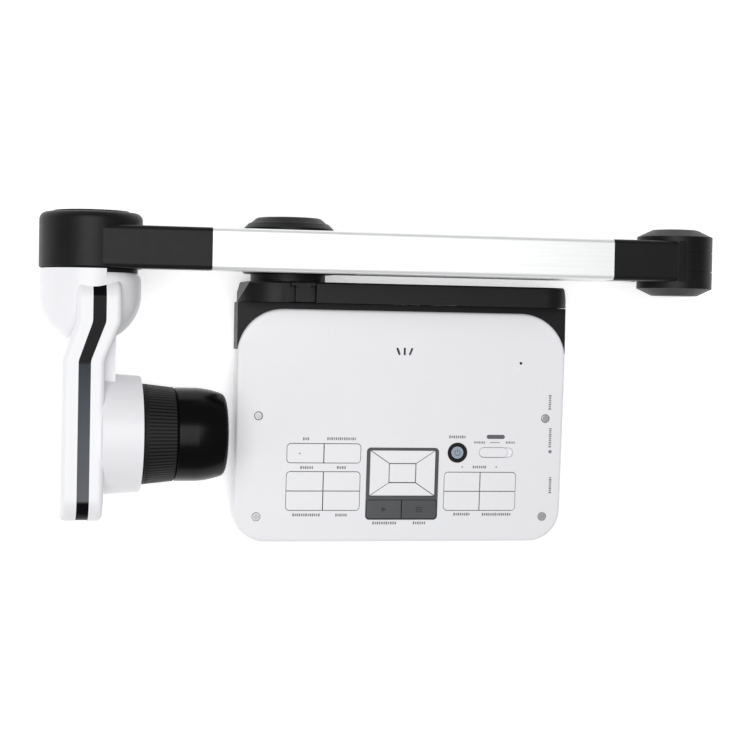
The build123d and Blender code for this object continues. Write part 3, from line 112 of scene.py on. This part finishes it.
def ribbed(name):
    """Ring rubber: a fine ribbed grip round the lens axis, smooth along its rear collar; painted shade
    darkens the rib troughs in its colour.
    """
    mat, tree, shader = new_material(name)
    coords = tree.nodes.new("ShaderNodeTexCoord")
    axes = tree.nodes.new("ShaderNodeSeparateXYZ")
    link(tree, coords.outputs["Object"], axes.inputs["Vector"])

    def maths(operation, a, b):
        node = tree.nodes.new("ShaderNodeMath")
        node.operation = operation
        for socket, value in zip(node.inputs, (a, b)):
            if isinstance(value, float):
                socket.default_value = value
            else:
                link(tree, value, socket)
        return node.outputs["Value"]

    height = maths("SUBTRACT", axes.outputs["Z"], 0.0520)
    side = maths("ADD", axes.outputs["Y"], 0.0326)
    turns = maths("MULTIPLY", maths("ARCTAN2", side, height), 84.0)
    wave = maths("MULTIPLY", maths("ADD", maths("SINE", turns, 0.0), 1.0), 0.5)
    front = maths("GREATER_THAN", axes.outputs["X"], -0.1452)
    crest = maths("ADD", maths("MULTIPLY", wave, front),
                  maths("MULTIPLY", maths("SUBTRACT", 1.0, front), 0.5))
    # Base colour is painted shade of the ribs, dark in the troughs and light on the crests, plus a little
    # random tone; the smooth collar gets a flat mid tone.
    rib_shade_and_tone = maths("ADD", maths("MULTIPLY", crest, 0.8), maths("MULTIPLY", noise(tree, 400.0), 0.2))
    link(tree, ramp(tree, rib_shade_and_tone, 0.15, 0.85, (0.0015, 0.0015, 0.0015), (0.022, 0.022, 0.023)),
         shader.inputs["Base Color"])
    link(tree, spread(tree, noise(tree, 210.0, 3.0), 0.48, 0.56), shader.inputs["Roughness"])
    bump(tree, shader, crest, 0.5, 0.0002)
    shader.inputs["Specular IOR Level"].default_value = 0.15
    return mat


def metal(name, colour, rough, brush, grain=900.0, relief=0.00001, metallic=1.0):
    """Metal with fine lines along one axis; brush stretches the noise across that axis."""
    mat, tree, shader = new_material(name)
    shader.inputs["Metallic"].default_value = metallic
    lines = noise(tree, grain, 4.0, brush, 0.7)
    dark = tuple(c * 0.97 for c in colour)
    light = tuple(min(1.0, c * 1.02) for c in colour)
    link(tree, ramp(tree, lines, 0.35, 0.65, dark, light), shader.inputs["Base Color"])
    link(tree, spread(tree, noise(tree, 120.0, 2.0), rough - 0.03, rough + 0.03), shader.inputs["Roughness"])
    bump(tree, shader, lines, 0.25, relief)
    return mat


def clear(name, colour, rough, ior=1.5, transmission=1.0):
    """Glass or clear plastic with a faint uneven polish."""
    mat, tree, shader = new_material(name)
    dark = tuple(c * 0.94 for c in colour)
    link(tree, ramp(tree, noise(tree, 90.0), 0.35, 0.65, dark, colour), shader.inputs["Base Color"])
    link(tree, spread(tree, noise(tree, 300.0), rough * 0.6, rough * 1.4), shader.inputs["Roughness"])
    bump(tree, shader, noise(tree, 700.0), 0.08, 0.000004)
    shader.inputs["IOR"].default_value = ior
    shader.inputs["Transmission Weight"].default_value = transmission
    return mat


white = moulded("white_shell", (0.80, 0.80, 0.825), 0.32,
                grain=2200.0, relief=0.000006, mottle=0.006, coat=0.05,
                level=0.35)
white_key = moulded("white_key", (0.80, 0.80, 0.82), 0.38, grain=3000.0, relief=0.000008, mottle=0.006)
black = moulded("black_texture", (0.008, 0.008, 0.0085), 0.42,
                grain=2600.0, relief=0.00004, mottle=0.12, level=0.16)
grey_key = moulded("grey_key", (0.055, 0.056, 0.060), 0.38, grain=3000.0, relief=0.00002, mottle=0.08)
print_grey = moulded("print_grey", (0.20, 0.20, 0.21), 0.6, grain=4000.0, relief=0.000005, mottle=0.10)
print_dark = moulded("print_dark", (0.10, 0.10, 0.11), 0.6, grain=4000.0, relief=0.000005, mottle=0.10)
icon_grey = moulded("icon_grey", (0.012, 0.012, 0.013), 0.5, grain=4000.0, relief=0.000005, mottle=0.10)
power_blue = moulded("power_blue", (0.30, 0.37, 0.44), 0.25,
                     grain=2500.0, relief=0.00001, mottle=0.05, coat=0.4)
rubber = ribbed("ring_rubber")
foot = moulded("foot_rubber", (0.02, 0.02, 0.02), 0.75, grain=2600.0, relief=0.00008, mottle=0.2)
hood_black = moulded("hood_gloss", (0.0025, 0.0025, 0.003), 0.22, grain=1500.0, relief=0.000002, mottle=0.1,
                     level=0.10)
flat_black = moulded("flat_black", (0.008, 0.008, 0.008), 0.70, grain=3000.0, relief=0.00003, mottle=0.2)
board_green = moulded("board_green", (0.015, 0.10, 0.05), 0.40,
                      grain=1500.0, relief=0.00001, mottle=0.2, coat=0.3)
socket_blue = moulded("socket_blue", (0.02, 0.05, 0.22), 0.40, grain=2600.0, relief=0.00002, mottle=0.08)
aluminium = metal("arm_aluminium", (0.88, 0.885, 0.89), 0.46, (0.02, 1, 1), relief=0.0000015, metallic=0.55)
steel = metal("plated_steel", (0.55, 0.55, 0.56), 0.30, (1, 0.15, 1))
bright_steel = metal("screw_steel", (0.42, 0.42, 0.43), 0.38, (1, 1, 1), grain=1800.0, metallic=0.7)
gold = metal("contact_gold", (0.85, 0.62, 0.25), 0.22, (1, 1, 1), grain=1800.0)
glass = clear("lens_glass", (0.75, 0.80, 0.95), 0.02, ior=1.6)
frosted = clear("lamp_frosted", (0.92, 0.93, 0.95), 0.35, ior=1.49)



def smoked(name):
    """Smoked strip round the head: gloss black with a see-through window along the front part."""
    mat, tree, shader = new_material(name)
    coords = tree.nodes.new("ShaderNodeTexCoord")
    axes = tree.nodes.new("ShaderNodeSeparateXYZ")
    link(tree, coords.outputs["Object"], axes.inputs["Vector"])
    along = tree.nodes.new("ShaderNodeMapRange")
    along.inputs["From Min"].default_value = -0.100
    along.inputs["From Max"].default_value = 0.060
    link(tree, axes.outputs["Y"], along.inputs["Value"])
    tones = tree.nodes.new("ShaderNodeValToRGB")
    tones.color_ramp.elements[0].position = 0.0
    tones.color_ramp.elements[0].color = (0.004, 0.004, 0.005, 1)
    tones.color_ramp.elements[1].position = 1.0
    tones.color_ramp.elements[1].color = (0.004, 0.004, 0.005, 1)
    for place, colour in ((0.178, (0.004, 0.004, 0.005)), (0.188, (0.115, 0.120, 0.135)),
                          (0.45, (0.075, 0.082, 0.098)), (0.678, (0.035, 0.040, 0.050)),
                          (0.688, (0.004, 0.004, 0.005))):
        stop = tones.color_ramp.elements.new(place)
        stop.color = (*colour, 1)
    link(tree, along.outputs["Result"], tones.inputs["Fac"])
    veil = tree.nodes.new("ShaderNodeMix")
    veil.data_type = "RGBA"
    veil.blend_type = "MULTIPLY"
    veil.inputs["Factor"].default_value = 1.0
    link(tree, tones.outputs["Color"], veil.inputs["A"])
    link(tree, ramp(tree, noise(tree, 60.0, 2.0, (1, 0.2, 1)), 0.3, 0.7, (0.85, 0.85, 0.85), (1, 1, 1)),
         veil.inputs["B"])
    link(tree, veil.outputs["Result"], shader.inputs["Base Color"])
    link(tree, spread(tree, noise(tree, 300.0), 0.10, 0.16), shader.inputs["Roughness"])
    bump(tree, shader, noise(tree, 900.0), 0.08, 0.000004)
    shader.inputs["Specular IOR Level"].default_value = 0.06
    return mat


strip = smoked("smoked_strip")

paint = {
    "white_plastic": white, "black_plastic": black, "arm_aluminium": aluminium, "white_key": white_key,
    "grey_key": grey_key, "power_blue": power_blue, "smoked_strip": strip, "ring_rubber": rubber,
    "hood_gloss": hood_black, "lens_black": flat_black, "lens_glass": glass, "lamp_clear": frosted,
    "foot_rubber": foot, "steel": steel, "screw_steel": bright_steel, "board_green": board_green,
    "socket_metal": steel, "socket_plastic": socket_blue, "small_black": flat_black, "light_guide": frosted,
}
for entry in frame["record"]["subparts"]:
    slots = nodes[entry["node"]].data.materials
    slots.clear()
    slots.append(paint[entry["material_slot"]])


# ---- printed marks and small fittings ---------------------------------------------------------------
PANEL_X, PANEL_Y, PANEL_Z, PANEL_TILT = 17.1, -35.9, 36.0, math.radians(3.2)
PRINT_BASE, PRINT_FACE = -0.02, 0.03      # printed marks on the cover, below and above its surface (mm)
ICON_BASE, ICON_FACE = 0.45, 0.53         # icons on the two dark keys
POWER_U, POWER_V = 34.8, -7.8
TRAY_UNDERSIDE = 3.0                      # height of the tray's underside above the table (mm)


def panel(u, v, w):
    """Point on the sloping control panel: u to the right, v to the rear, w out of it (mm)."""
    return Vector((PANEL_X + u, PANEL_Y + v * math.cos(PANEL_TILT) - w * math.sin(PANEL_TILT),
                   PANEL_Z + v * math.sin(PANEL_TILT) + w * math.cos(PANEL_TILT))) * MM


def place_mesh(name, sheet, material, body):
    mesh = bpy.data.meshes.new(name)
    sheet.normal_update()
    bmesh.ops.recalc_face_normals(sheet, faces=sheet.faces)
    sheet.to_mesh(mesh)
    sheet.free()
    mesh.materials.append(material)
    piece = bpy.data.objects.new(name, mesh)
    bpy.context.scene.collection.objects.link(piece)
    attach(piece, body)
    return piece


def add_plate(sheet, outline, bottom, top, where=panel):
    """Closed thin plate over an outline of (u, v) points."""
    low_ring = [sheet.verts.new(where(u, v, bottom)) for u, v in outline]
    high_ring = [sheet.verts.new(where(u, v, top)) for u, v in outline]
    sheet.faces.new(list(reversed(low_ring)))
    sheet.faces.new(high_ring)
    for i in range(len(outline)):
        j = (i + 1) % len(outline)
        sheet.faces.new((low_ring[i], low_ring[j], high_ring[j], high_ring[i]))


def rounded(u, v, width, height, radius, steps=5):
    points = []
    for turn, (su, sv) in enumerate(((1, 1), (-1, 1), (-1, -1), (1, -1))):
        for k in range(steps + 1):
            a = math.pi / 2 * (turn + k / steps)
            points.append((u + su * (width / 2 - radius) + radius * math.cos(a),
                           v + sv * (height / 2 - radius) + radius * math.sin(a)))
    return points


def words(name, u, v, width, height, material, upright=False, where=panel, base=PRINT_BASE,
          face=PRINT_FACE):
    """A printed word with no letters in it: a row of small bars of uneven height."""
    sheet = bmesh.new()
    pitch = height * 0.72
    count = max(2, round(width / pitch))
    pitch = width / count
    for i in range(count):
        bar = pitch * (0.70, 0.60, 0.72, 0.55)[i % 4]
        rise = height * (1.0, 0.82, 0.92)[i % 3]
        centre = -width / 2 + (i + 0.5) * pitch
        box = rounded(centre, 0, bar, rise, min(bar, rise) * 0.25, 2)
        if upright:
            box = [(-b, a) for a, b in box]
        add_plate(sheet, [(u + a, v + b) for a, b in box], base, face, where)
    return place_mesh(name, sheet, material, "base")


for name, u, v, width, height in (
        ("pc", -61.5, 0.2, 4.2, 1.9), ("bright", -39.2, 0.4, 18.5, 1.9), ("lamp", -60.6, -17.6, 8.4, 1.9),
        ("flip", -38.8, -17.5, 6.1, 1.9), ("record", -60.2, -47.0, 17.5, 1.9),
        ("snap", -38.2, -47.1, 7.6, 1.9),
        ("play", -10.7, -52.1, 15.6, 1.9), ("menu", 11.6, -52.1, 8.4, 1.9),
        ("freeze", 38.8, -46.6, 11.0, 1.9), ("focus", 61.3, -46.7, 19.0, 1.9),
        ("power", 34.5, 2.1, 11.0, 1.9), ("source_a", 48.9, -1.3, 7.1, 1.5),
        ("source_b", 68.9, -1.2, 6.1, 1.5), ("zoom", 49.3, -16.8, 8.9, 1.8)):
    words("mark_" + name, u, v, width, height, print_grey)
for name, u, v, width in (
        ("port_a", 93.9, 24.4, 9.7), ("port_b", 94.8, 2.0, 12.6), ("port_c", 95.9, -28.1, 10.7)):
    words("mark_" + name, u, v, width, 1.8, print_grey, upright=True)

badge = bmesh.new()
add_plate(badge, rounded(59.3, 2.3, 11.8, 2.6, 1.2), PRINT_BASE, PRINT_FACE)
place_mesh("mark_badge", badge, print_dark, "base")
small = bmesh.new()
add_plate(small, rounded(58.9, -1.3, 6.5, 0.45, 0.2, 3), PRINT_BASE, PRINT_FACE)
for u, v, r in ((38.2, -16.8, 0.5), (60.3, -16.8, 0.5), (95.1, -6.8, 1.1)):
    add_plate(small, rounded(u, v, 2 * r, 2 * r, r * 0.98, 4), PRINT_BASE, PRINT_FACE)
place_mesh("mark_dots", small, print_grey, "base")
dot = bmesh.new()
add_plate(dot, rounded(-65.2, -8.8, 1.0, 1.0, 0.48, 4), 0.30, 0.38)
place_mesh("pc_key_dot", dot, print_grey, "pc_key")

# icons on the dark keys and the power key
icon = bmesh.new()
add_plate(icon, ((-12.7, -41.9), (-12.7, -45.1), (-9.6, -43.5)), ICON_BASE, ICON_FACE)
place_mesh("playback_icon", icon, icon_grey, "playback_key")
icon = bmesh.new()
for v in (-42.3, -43.5, -44.7):
    add_plate(icon, rounded(11.2, v, 4.2, 0.65, 0.2, 3), ICON_BASE, ICON_FACE)
place_mesh("menu_icon", icon, icon_grey, "menu_key")
icon = bmesh.new()
outer = [(POWER_U + 1.9 * math.sin(a), POWER_V + 1.9 * math.cos(a))
         for a in [math.radians(d) for d in range(35, 326, 10)]]
inner = [(POWER_U + 1.45 * math.sin(a), POWER_V + 1.45 * math.cos(a))
         for a in [math.radians(d) for d in range(35, 326, 10)]]
add_plate(icon, outer + inner[::-1], 0.22, 0.33)
add_plate(icon, rounded(POWER_U, -6.4, 0.45, 2.4, 0.2, 3), 0.22, 0.33)
place_mesh("power_icon", icon, print_dark, "power_key")


def below(u, v, w):
    """Point under the tray; w runs down."""
    return Vector((u, v, TRAY_UNDERSIDE - w)) * MM


plate = bmesh.new()
add_plate(plate, rounded(15, -20, 56, 30, 2.5), -0.1, 0.25, below)
place_mesh("rating_plate", plate, grey_key, "base")
for i, width in enumerate((40, 34, 44, 30, 38)):
    words(f"rating_line_{i}", 15 - (46 - width) / 2, -10 - 5 * i, width, 1.8, white,
          where=below, base=0.2, face=0.3)

# contacts on the tongues of the sockets: rows of gold fingers, side wall then rear wall
def fingers(name, at_side, place, height, width, count, node_face):
    sheet = bmesh.new()
    pitch = width / count

    def where(u, v, w):
        point = (node_face - w, u, v) if at_side else (u, node_face - w, v)
        return Vector(point) * MM

    for i in range(count):
        u = place - width / 2 + (i + 0.5) * pitch
        add_plate(sheet, rounded(u, height + 0.58, pitch * 0.55, 0.12, 0.03, 2), 0.2, 3.0, where)
    return place_mesh(name, sheet, gold, "base")


fingers("side_hdmi_contacts", True, -64.5, 13.0, 10.6, 9, 115.4)
fingers("rear_hdmi_contacts", False, 46.0, 13.0, 10.6, 9, 58.9)
fingers("rear_usb_contacts", False, 23.0, 13.3, 8.4, 4, 58.9)


def pin_section(u, v, w):
    """Cross-section of the power inlet, w into the machine from the beam's rear face."""
    return Vector((u, 60.3 - w, v)) * MM


pin = bmesh.new()
add_plate(pin, rounded(101.0, 15.0, 1.7, 1.7, 0.84, 6), 1.2, 8.8, pin_section)
place_mesh("dc_pin", pin, bright_steel, "base")

# ---- camera, lights and floor --------------------------------------------------------------------
right = Vector((0.97769, 0.01877, 0.20920))
up = Vector((-0.01396, 0.99960, -0.02444))
back = Vector((-0.20958, 0.02097, 0.97757))
camera_data = bpy.data.cameras.new("camera")
camera_data.lens = 96.0
camera_data.sensor_width = 36.0
camera_data.clip_end = 20.0
camera = bpy.data.objects.new("camera", camera_data)
camera.matrix_world = Matrix((
    (right.x, up.x, back.x, -0.2612), (right.y, up.y, back.y, 0.0301), (right.z, up.z, back.z, 1.2460),
    (0, 0, 0, 1)))
bpy.context.scene.collection.objects.link(camera)
bpy.context.scene.camera = camera
bpy.context.scene.view_settings.view_transform = "Standard"


def softbox(name, place, aim, size, power):
    data = bpy.data.lights.new(name, "AREA")
    data.shape = "RECTANGLE"
    data.size, data.size_y = size
    data.energy = power
    lamp = bpy.data.objects.new(name, data)
    lamp.location = place
    lamp.rotation_euler = (Vector(aim) - Vector(place)).to_track_quat("-Z", "Y").to_euler()
    bpy.context.scene.collection.objects.link(lamp)


softbox("key", (-0.42, 0.1, 2.0), (0, 0, 0), (1.8, 1.6), 37)
softbox("left_fill", (-1.7, -0.6, 0.7), (0, 0, 0.03), (1.0, 0.8), 2.5)

world = bpy.data.worlds.new("studio")
bpy.context.scene.world = world
world.use_nodes = True
world.node_tree.nodes["Background"].inputs["Color"].default_value = (1.0, 1.0, 1.0, 1)
world.node_tree.nodes["Background"].inputs["Strength"].default_value = 0.26

floor_mat, floor_tree, floor_shader = new_material("floor_paper")
link(floor_tree, ramp(floor_tree, noise(floor_tree, 6.0), 0.3, 0.7, (0.97, 0.97, 0.97), (0.99, 0.99, 0.99)),
     floor_shader.inputs["Base Color"])
floor_shader.inputs["Roughness"].default_value = 0.9
floor_shader.inputs["Specular IOR Level"].default_value = 0.1
floor_shader.inputs["Emission Color"].default_value = (1, 1, 1, 1)
floor_shader.inputs["Emission Strength"].default_value = 0.42
floor_mesh = bpy.data.meshes.new("floor")
sheet = bmesh.new()
bmesh.ops.create_grid(sheet, x_segments=2, y_segments=2, size=6.0)
sheet.to_mesh(floor_mesh)
sheet.free()
floor = bpy.data.objects.new("floor", floor_mesh)
floor.data.materials.append(floor_mat)
bpy.context.scene.collection.objects.link(floor)
